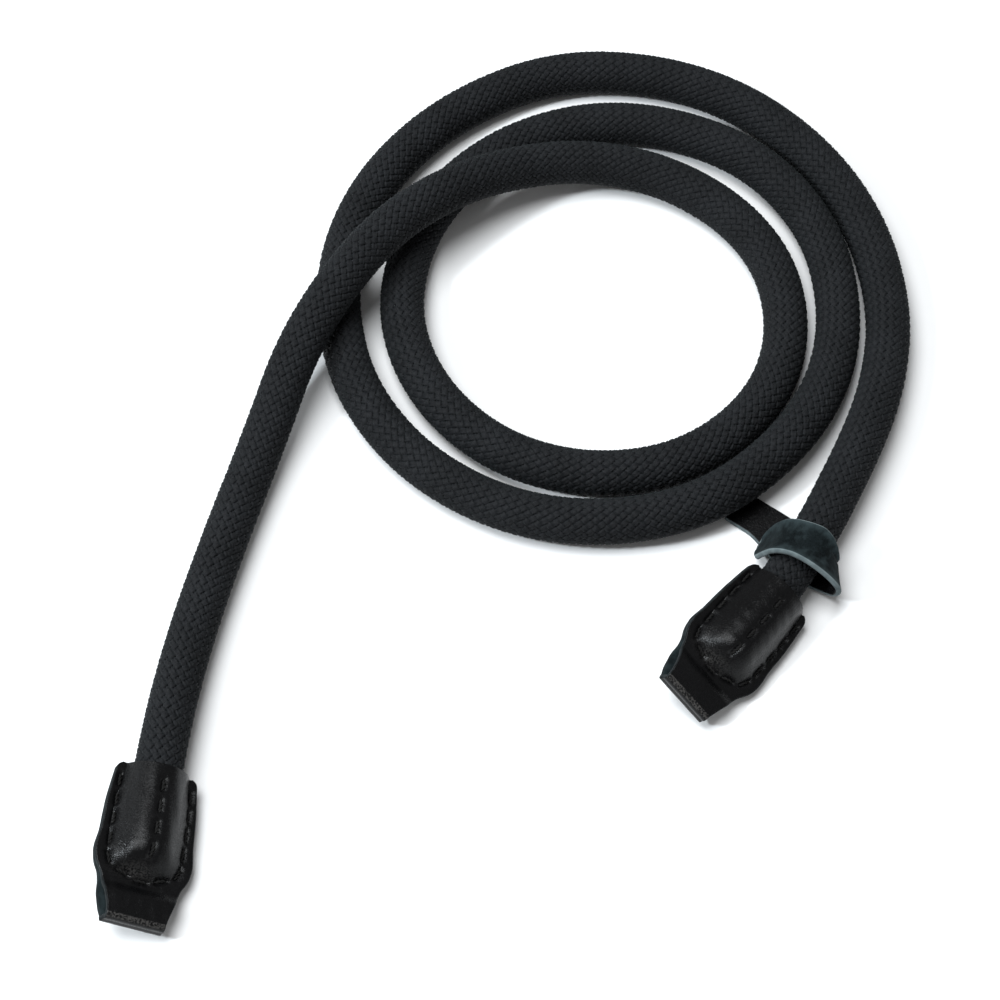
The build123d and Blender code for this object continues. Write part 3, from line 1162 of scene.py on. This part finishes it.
@dataclass
class LeatherCap:
    """One folded leather cap: two panels stitched together round the rope's end, and a loop."""

    side: CapSide
    rope_end: Place
    rope_before: Place
    roll: float
    body: str = "strap"
    rope_in: ClassVar[float] = 0.0245
    length: float = 0.041
    hide: float = 0.0012
    slit: float = 0.00016
    bore: float = 0.00645
    loop_height: float = 0.0048
    loop_start: float = 0.0315
    loop_ramp: float = 0.0030
    fold_radius: float = 0.0009
    fold_dish: float = 0.00018
    corner: float = 0.0020
    seam_half_w: float = 0.0089
    seam_start: float = 0.0046
    seam_shoulder: float = 0.0272
    seam_nose: float = 0.0304
    edge_holes: int = 26
    centre_first: float = 0.0062
    centre_pitch: float = 0.00545
    centre_stitch: float = 0.0027
    centre_stitches: int = 4
    stitch_depth: float = 0.00052
    row_step: float = 0.00026
    columns: int = 93
    lip: float = 0.0012
    nose_at: float = 0.0282
    mouth_in: float = 0.0010
    mouth_bow: float = 0.0010
    mouth_reach: float = 0.0130
    thread_bow: float = 0.00025
    thread_lay: float = 0.0021
    thread_step: float = 0.00017
    ply_radius: float = 0.56
    ply_offset: float = 0.46
    fold_rub: float = 0.4
    nose_rub: float = 0.22
    nose_rub_size: float = 0.0016
    nose_rub_across: float = -0.002
    nose_rub_breadth: float = 0.35
    inside_rub: float = 0.45

    @property
    def seed(self) -> int:
        """Picks this cap's own small unevenness."""
        return 11 if self.side is CapSide.LEFT else 29

    def place(self, local: np.ndarray) -> np.ndarray:
        """Takes places along, across and off the cap into the row frame.

        Args:
            local: rows of three places, in metres.

        Returns:
            The same places at rest on the table.
        """
        end, before = np.array(self.rope_end), np.array(self.rope_before)
        along = unit(end - before)
        level = np.cross([0.0, 0.0, 1.0], along)
        above = np.cross(along, level)
        lean = math.radians(self.roll)
        across = math.cos(lean) * level - math.sin(lean) * above
        off = math.sin(lean) * level + math.cos(lean) * above
        mouth = end - along * self.rope_in
        return mouth + local @ np.stack([along, across, off])

    def half_width(self, s: np.ndarray, raised: bool, upper: bool) -> np.ndarray:
        """From the cap's middle to the edge of a panel.

        Args:
            s: places along the cap.
            raised: the side that is lifted off the table.
            upper: which panel.

        Returns:
            The distance at each place.
        """
        width = through(
            [
                (0.0, 0.0097),
                (0.0056, 0.0104),
                (0.011, 0.0109),
                (0.019, 0.0113),
                (0.0245, 0.0118),
                (0.0272, 0.0112),
                (0.0297, 0.0099),
                (0.0335, 0.0088),
                (0.0370, 0.0078),
                (0.041, 0.0069),
            ],
            s,
        )
        near = np.clip(self.corner - s, 0, self.corner)
        width = width - (self.corner - np.sqrt(self.corner**2 - near**2))
        lip = smooth_rise(s, 0.026, 0.037) * (1 - smooth_rise(s, 0.0375, 0.0412))
        if raised:
            width = width + self.lip * lip * (-0.3 if upper else 0.55)
        where = np.stack([s, np.full_like(s, 0.01 * raised + 0.003 * upper)], axis=-1)
        return width + 0.00005 * waviness(self.seed, where, 0.024, 3)

    def rise(self, s: np.ndarray, w: np.ndarray) -> np.ndarray:
        """How far a panel's middle surface stands off the cap's middle plane.

        Args:
            s: places along the cap.
            w: places across it.

        Returns:
            The distance at each place.
        """
        flat = self.hide / 2 + self.slit / 2
        crown = self.bore + self.hide / 2
        foot = through([(0.0, 0.0076), (0.0035, 0.0078), (0.0105, 0.0086), (0.041, 0.0086)], s)
        away = np.hypot(foot, flat)
        shoulder = crown * np.cos(np.arccos(crown / away) + np.arctan2(flat, foot))
        shoulder_h = np.sqrt(crown**2 - shoulder**2)
        top = through(
            [
                (0.0, crown),
                (0.0214, crown),
                (0.0228, crown - 0.00010),
                (0.0242, crown - 0.00070),
                (0.0262, 0.0045),
                (0.0284, 0.0018),
                (0.0299, flat),
                (0.0330, flat),
            ],
            s,
        )
        reach = through(
            [
                (0.0, 1.0),
                (0.0235, 1.0),
                (0.0258, 0.97),
                (0.0272, 0.85),
                (0.0288, 0.51),
                (0.0299, 0.14),
                (0.0330, 0.14),
            ],
            s,
        )
        x = np.abs(w) / reach
        t = np.clip((x - shoulder) / (foot - shoulder), 0, 1)
        side = shoulder_h + (flat - shoulder_h) * t
        round_top = np.sqrt(np.maximum(crown**2 - x**2, 0.0))
        section = np.where(x < shoulder, round_top, side)
        share = np.where(x < foot, (section - flat) / (crown - flat), 0.0)
        bulge = (top - flat) * share
        open_h = self.loop_height / 2 - self.hide / 2 - flat
        loop = open_h * smooth_rise(s, self.loop_start, self.loop_start + self.loop_ramp)
        return flat + bulge + loop

    def seams(self) -> tuple[Stitching, Stitching]:
        """Where the needle went through.

        Returns:
            The edge seam and the centre row.
        """
        half_w = self.seam_half_w
        corners = [
            (self.seam_start, -half_w),
            (self.seam_shoulder - 0.0012, -half_w),
            (self.seam_shoulder + 0.0004, -half_w + 0.0011),
            (self.seam_nose - 0.0003, -0.0010),
            (self.seam_nose, 0.0),
        ]
        line = np.array(corners + [(s, -w) for s, w in corners[-2::-1]])
        reach = np.concatenate([[0], np.cumsum(np.linalg.norm(np.diff(line, axis=0), axis=1))])
        even = np.linspace(0, reach[-1], self.edge_holes)
        edge = np.stack([np.interp(even, reach, axis) for axis in line.T], axis=1)
        starts = self.centre_first + self.centre_pitch * np.arange(self.centre_stitches)
        centre = np.stack([starts, starts + self.centre_stitch], axis=1).ravel()
        return Stitching(edge), Stitching(np.stack([centre, 0 * centre], axis=1))

    def panel(self, s: np.ndarray, upper: bool) -> tuple[np.ndarray, np.ndarray]:
        """One panel's middle surface and the depth of its stitches.

        Args:
            s: its rows, along the cap.
            upper: which panel.

        Returns:
            The surface, by row and column, and the depth at each place.
        """
        across = np.linspace(-1.0, 1.0, self.columns)[None, :]
        raised = self.half_width(s, True, upper)[:, None]
        lowered = self.half_width(s, False, upper)[:, None]
        w = np.where(across < 0, across * raised, across * lowered)
        near = np.clip(1 - s / self.mouth_reach, 0, 1)[:, None] ** 2
        s_all = s[:, None] + near * (self.mouth_in + self.mouth_bow * (1 - across**2))
        off = self.rise(s_all, w)
        where = np.stack([s_all, w], axis=-1)
        off = off + 0.00007 * waviness(self.seed + 3 * upper, where, 0.012)
        sink = np.zeros_like(w)
        for seam in self.seams():
            sink = np.maximum(sink, seam.sink(s_all, w, upper, self.stitch_depth))
        sign = 1.0 if upper else -1.0
        return np.stack([s_all, w, sign * off], axis=-1), sink

    def turned(self, row: np.ndarray, angle: float, way: float) -> np.ndarray:
        """A panel's last row carried round its share of the fold.

        Args:
            row: the row.
            angle: how far it has turned.
            way: 1 to turn up from the lower panel, -1 to turn down from the upper.

        Returns:
            The row in its new place.
        """
        out, lift = math.sin(angle), 1 - math.cos(angle)
        return row + self.fold_radius * np.array([out, 0.0, way * lift])

    def fold(self, upper: np.ndarray, lower: np.ndarray) -> np.ndarray:
        """The turn of the hide at the loop's end, from the lower panel to the upper.

        Args:
            upper: the upper panel's last row.
            lower: the lower panel's last row.

        Returns:
            The rows between them.
        """
        turn = np.linspace(0, math.pi / 2, 7)[1:]
        rising = [self.turned(lower, angle, 1.0) for angle in turn]
        closing = [self.turned(upper, angle, -1.0) for angle in turn[::-1]]
        wall = []
        for share in np.linspace(0, 1, 7)[1:-1]:
            row = rising[-1] * (1 - share) + closing[0] * share
            row[:, 0] -= self.fold_dish * math.sin(math.pi * share)
            wall.append(row)
        return np.stack(rising + wall + closing)

    def leather(self, finishes: Finishes) -> Piece:
        """The one piece of hide: lower panel, fold and upper panel.

        Args:
            finishes: the strap's materials.

        Returns:
            The leather.
        """
        last = self.length - self.hide / 2 - self.fold_radius
        start = self.corner * (1 - np.cos(np.linspace(0.5, math.pi / 2, 12)))
        rest = np.arange(self.corner + self.row_step, last, self.row_step)
        s = np.concatenate([start, rest, [last]])
        lower, lower_sink = self.panel(s, False)
        upper, upper_sink = self.panel(s[::-1], True)
        fold = self.fold(upper[0], lower[-1])
        local = np.concatenate([lower, fold, upper])
        sink = np.concatenate([lower_sink, np.zeros(fold.shape[:2]), upper_sink])
        half = np.full(sink.shape, self.hide / 2)
        wear_and_catch_light = np.zeros(sink.shape)
        top = len(lower) + len(fold)
        wear_and_catch_light[top - 3 : top + 1] = self.fold_rub
        beside = self.nose_rub_breadth * (local[..., 1] - self.nose_rub_across)
        from_nose = np.hypot(local[..., 0] - self.nose_at, beside)
        nose = np.exp(-((from_nose / self.nose_rub_size) ** 2)) * (local[..., 2] > 0)
        wear_and_catch_light = np.maximum(wear_and_catch_light, self.nose_rub * nose)
        placed, inside = self.place(local), np.full(sink.shape, self.inside_rub)
        sheet = HideSheet(f"{self.side.value}_cap", placed, half - sink, half, wear_and_catch_light, inside)
        return sheet.build(finishes.cap_hide)

    def thread(self, name: str, seam: Stitching, finishes: Finishes) -> Piece:
        """The two twisted plies of one running stitch.

        Args:
            name: the piece's name.
            seam: its holes.
            finishes: the strap's materials.

        Returns:
            The thread.
        """
        lift = self.hide / 2 - self.stitch_depth + seam.thread_radius * 0.75
        path: list[Place] = []
        for k, (s, w) in enumerate(seam.holes):
            top = float(self.rise(np.array(s), np.array(w))) + lift - self.thread_bow
            first, second = (-top, top) if k % 2 == 0 else (top, -top)
            path += [(s, w, first), (s, w, 0.0), (s, w, second)]
            if k + 1 < len(seam.holes):
                s2, w2 = seam.holes[k + 1]
                for share in np.linspace(0, 1, 9)[1:-1]:
                    x, y = s + (s2 - s) * share, w + (w2 - w) * share
                    over = float(self.rise(np.array(x), np.array(y))) + lift
                    bow = self.thread_bow * (1 - math.sin(math.pi * share) ** 0.6)
                    path.append((x, y, math.copysign(over - bow, second)))
        line = GuideLine.even(self.place(np.array(path)), self.thread_step)
        radius = seam.thread_radius * self.ply_radius
        plies = []
        for start in (0.0, math.pi):
            angle = (start + math.tau * line.distance / self.thread_lay)[:, None]
            shift = np.cos(angle) * line.side + np.sin(angle) * line.up
            ply = replace(line, points=line.points + shift * seam.thread_radius * self.ply_offset)
            plies.append(skin(round_rings(ply, radius, 7), line.distance))
        vertices, faces, uv = merge(plies)
        return mesh_piece(name, vertices, faces, [finishes.thread], uv=uv)

    def build(self, finishes: Finishes) -> None:
        """Builds the cap's leather and threads, and dresses the tape inside it.

        Args:
            finishes: the strap's materials.
        """
        side = self.side.value
        dress(self.leather(finishes), self.body, f"{side}_cap_leather")
        for row, seam in zip(("edge", "centre"), self.seams()):
            thread = self.thread(f"{side}_{row}_stitches", seam, finishes)
            dress(thread, self.body, f"{side}_{row}_thread")
        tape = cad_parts[f"{side}_rope_tape"]
        tape.data.materials.clear()
        tape.data.materials.append(finishes.tape)
        log.info("%s cap: hide, two seams and the taped rope end", side)


# ---- keeper ----------------------------------------------------------------------------------
@dataclass
class Keeper:
    """The leather keeper: a flat tail, a turn round the rope and a tongue laid on the tail."""

    body: str = "keeper"
    hide: float = 0.0014
    rope_radius: float = 0.006
    fit: float = 0.0008
    from_bend: float = 0.010
    tail_reach: float = 0.0235
    tail_turn: float = 13.0
    tail_half_w: float = 0.0063
    tongue_reach: float = 0.0118
    far_tip: float = 0.0100
    near_tip: float = 0.0045
    far_trim: float = 0.0013
    near_trim: float = 0.0010
    tail_taper: float = 0.0028
    drawn_in: float = 0.0033
    curl: float = 0.0013
    flare: float = 0.0042
    step: float = 0.0003
    columns: int = 41

    def path(self) -> tuple[np.ndarray, np.ndarray, float]:
        """The strip's middle line across the rope.

        Returns:
            Its points, to the left of the rope's axis and above the table, how far along the strip
            each one is, and where on it the rope's axis is first crossed.
        """
        middle = self.rope_radius + self.fit + self.hide / 2
        centre_z = self.rope_radius + self.fit + self.hide
        tail = np.stack(
            [np.linspace(self.tail_reach, 0, 40), np.full(40, self.hide / 2)], axis=1
        )
        drop = centre_z - 1.5 * self.hide
        reach = math.hypot(self.tongue_reach, drop)
        leave = math.acos(middle / reach) - math.atan2(drop, self.tongue_reach)
        turn = np.linspace(-math.pi / 2, leave - math.tau, 90)[1:]
        wrap = np.stack([middle * np.cos(turn), centre_z + middle * np.sin(turn)], axis=1)
        run = np.linspace(0, 1, 30)[1:, None]
        tongue = wrap[-1] + run * (np.array([self.tongue_reach, centre_z - drop]) - wrap[-1])
        line = np.concatenate([tail, wrap, tongue])
        gaps = np.linalg.norm(np.diff(line, axis=0), axis=1)
        reach_along = np.concatenate([[0], np.cumsum(gaps)])
        even = np.linspace(0, reach_along[-1], round(reach_along[-1] / self.step))
        points = np.stack([np.interp(even, reach_along, axis) for axis in line.T], axis=1)
        return points, even, self.tail_reach

    def widths(self, reach: np.ndarray, crossing: float) -> tuple[np.ndarray, np.ndarray]:
        """How far the strip's two edges are from its middle line.

        Args:
            reach: places along the strip.
            crossing: where the rope's axis is first crossed.

        Returns:
            The edge up the rope and the edge towards the cap, at each place.
        """
        total = reach[-1]
        on_top = smooth_rise(reach, crossing + 0.014, crossing + 0.026)
        far_tip, near_tip = (
            np.sqrt(np.clip(1 - ((reach - (total - tip)) / tip).clip(0, 1) ** 2, 0.0025, 1))
            for tip in (self.far_tip, self.near_tip)
        )
        far = (self.tail_half_w - self.far_trim * on_top) * far_tip
        near = (self.tail_half_w - self.near_trim * on_top) * near_tip
        near = near - self.tail_taper * (1 - smooth_rise(reach, 0.006, 0.018))
        drawn_in = smooth_rise(reach, crossing + 0.003, crossing + 0.011)
        drawn_in = drawn_in * (1 - smooth_rise(reach, crossing + 0.013, crossing + 0.022))
        return far - self.drawn_in * drawn_in, near

    def drift(self, reach: np.ndarray, crossing: float) -> np.ndarray:
        """How far the strip wanders up the rope, below 0 where it wanders towards the cap.

        Args:
            reach: places along the strip.
            crossing: where the rope's axis is first crossed.

        Returns:
            The distance at each place.
        """
        knots = [
            (0.0, 0.0010),
            (crossing - 0.002, 0.0010),
            (crossing + 0.0118, -0.0028),
            (crossing + 0.0236, -0.0038),
            (crossing + 0.0300, -0.0036),
            (reach[-1], -0.0014),
        ]
        return through(knots, reach)

    def surface(self, across: np.ndarray) -> tuple[np.ndarray, np.ndarray, float]:
        """The strip's middle surface.

        Args:
            across: places from one edge, 1, to the other, -1.

        Returns:
            The surface by row and column, how far along the strip each row is, and where the
            rope's axis is first crossed.
        """
        points, reach, crossing = self.path()
        total = reach[-1]
        far, near = self.widths(reach, crossing)
        v = np.where(across > 0, across * far[:, None], across * near[:, None])
        v = v + self.drift(reach, crossing)[:, None]
        tangent = unit(np.gradient(points, axis=0))
        out = np.stack([-tangent[:, 1], tangent[:, 0]], axis=1)
        free = smooth_rise(reach, crossing + 0.006, crossing + 0.022)
        free = free * (1 - 0.5 * smooth_rise(reach, total - 0.010, total))
        curl = self.curl * free[:, None] * np.abs(across) ** 2.2
        right = smooth_rise(reach, crossing + 0.001, crossing + 0.008)
        right = right * (1 - smooth_rise(reach, crossing + 0.013, crossing + 0.024))
        flare = self.flare * right[:, None] * np.clip((0.4 - across) / 1.4, 0, 1)
        q = points[:, :1] + out[:, :1] * curl - flare
        z = points[:, 1:] + out[:, 1:] * curl
        on_tail = 1 - smooth_rise(reach, crossing - 0.006, crossing)
        turned = math.radians(self.tail_turn) * on_tail[:, None]
        left_by = q * np.cos(turned) - v * np.sin(turned)
        up_by = q * np.sin(turned) + v * np.cos(turned)
        bend, above = np.array(ROUTE[-2]), np.array(ROUTE[-3])
        along = unit((above - bend) * [1, 1, 0])
        left = np.cross([0.0, 0.0, 1.0], along)
        middle = bend * [1, 1, 0] + along * self.from_bend
        grid = middle + left_by[..., None] * left + up_by[..., None] * along
        grid[..., 2] = z
        return grid, reach, crossing

    def build(self, finishes: Finishes) -> None:
        """Builds the strip, with its grain towards the rope and its flesh side out.

        Args:
            finishes: the strap's materials.
        """
        across = np.linspace(1, -1, self.columns)[None, :]
        grid, reach, crossing = self.surface(across)
        total = reach[-1]
        half = np.full(grid.shape[:2], self.hide / 2)
        # Painted catch light: the flesh face is paled towards both edges of the strip where it
        # rises round and over the rope, and at the tongue's tip, so its middle stays dark as if
        # shaded.
        rim = np.abs(across) ** 3 * smooth_rise(reach, crossing + 0.004, crossing + 0.010)[:, None]
        rim = np.maximum(rim, 0.7 * smooth_rise(reach, total - 0.004, total)[:, None])
        sheet = HideSheet("rope_keeper", grid, half, half, 0 * half, rim)
        dress(sheet.build(finishes.keeper_hide), self.body, "keeper_leather")
        log.info("keeper: a strip %.1f mm long", total * 1000)


# ---- studio ----------------------------------------------------------------------------------
@dataclass(frozen=True)
class SoftLight:
    """One soft light aimed at the strap."""

    name: str
    place: Place
    size: float
    watts: float
    tint: Tint

    def build(self, target: Vector) -> None:
        """Hangs the light and turns it to its target.

        Args:
            target: the place that it shines at.
        """
        lamp = bpy.data.lights.new(self.name, "AREA")
        lamp.shape = "DISK"
        lamp.size = self.size
        lamp.energy = self.watts
        lamp.color = self.tint
        holder = bpy.data.objects.new(self.name, lamp)
        holder.location = self.place
        holder.rotation_euler = (target - Vector(self.place)).to_track_quat("-Z", "Y").to_euler()
        bpy.context.scene.collection.objects.link(holder)


@dataclass
class Studio:
    """The table, the lights and the camera."""

    table_half: float = 3.0
    target: Place = (0.0035, 0.0575, 0.006)
    distance: float = 0.677
    elevation: float = 57.0
    lens: float = 95.4
    room_light: float = 0.30

    def table(self, finishes: Finishes) -> None:
        """A broad pale table top under the strap.

        Args:
            finishes: the strap's materials.
        """
        size, cells = self.table_half, 12
        ticks = np.linspace(-size, size, cells + 1)
        x, y = np.meshgrid(ticks, ticks, indexing="ij")
        vertices = np.stack([x, y, np.full_like(x, -0.0001)], axis=-1).reshape(-1, 3)
        index = np.arange((cells + 1) ** 2).reshape(cells + 1, cells + 1)
        faces = np.stack(
            [index[:-1, :-1], index[1:, :-1], index[1:, 1:], index[:-1, 1:]], axis=-1
        ).reshape(-1, 4)
        mesh_piece("table_top", vertices, faces, [finishes.floor])

    def lights(self) -> None:
        """A broad light overhead, a lamp and a window at the left, and an even white room."""
        aim = Vector(self.target)
        for light in (
            SoftLight("overhead", (-0.30, 0.05, 1.3), 0.9, 20.0, (0.95, 0.98, 1.0)),
            SoftLight("left_lamp", (-0.79, -0.24, 0.86), 0.16, 9.5, (0.88, 0.95, 1.0)),
            SoftLight("left_window", (-0.95, 0.70, 0.55), 0.6, 2.2, (0.90, 0.96, 1.0)),
        ):
            light.build(aim)
        world = bpy.data.worlds.new("white_room")
        world.use_nodes = True
        bpy.context.scene.view_settings.view_transform = "Standard"
        room = next(n for n in world.node_tree.nodes if n.type == "BACKGROUND")
        room.inputs[0].default_value = (1.0, 1.0, 1.0, 1.0)
        room.inputs[1].default_value = self.room_light
        bpy.context.scene.world = world

    def camera(self) -> None:
        """The camera, above and in front of the strap."""
        data = bpy.data.cameras.new("main_camera")
        data.lens = self.lens
        data.sensor_width = 36.0
        data.clip_start, data.clip_end = 0.01, 50.0
        tilt = math.radians(self.elevation)
        holder = bpy.data.objects.new("main_camera", data)
        back = Vector((0.0, -math.cos(tilt), math.sin(tilt))) * self.distance
        holder.location = Vector(self.target) + back
        holder.rotation_euler = (math.pi / 2 - tilt, 0.0, 0.0)
        bpy.context.scene.collection.objects.link(holder)
        bpy.context.scene.camera = holder

    def build(self, finishes: Finishes) -> None:
        """Sets up the whole studio.

        Args:
            finishes: the strap's materials.
        """
        self.camera()
        self.lights()
        self.table(finishes)
        log.info("studio: table, three lights and the camera")


def main() -> None:
    """Builds the strap piece by piece."""
    logging.basicConfig(level=logging.INFO, format="%(name)s: %(message)s")
    finishes = Finishes.build(Effects.build())
    Studio().build(finishes)
    BraidedRope().build(finishes)
    LeatherCap(CapSide.LEFT, ROUTE[0], ROUTE[1], roll=26.0).build(finishes)
    LeatherCap(CapSide.RIGHT, ROUTE[-1], ROUTE[-2], roll=30.0).build(finishes)
    Keeper().build(finishes)


if __name__ == "__main__":
    main()
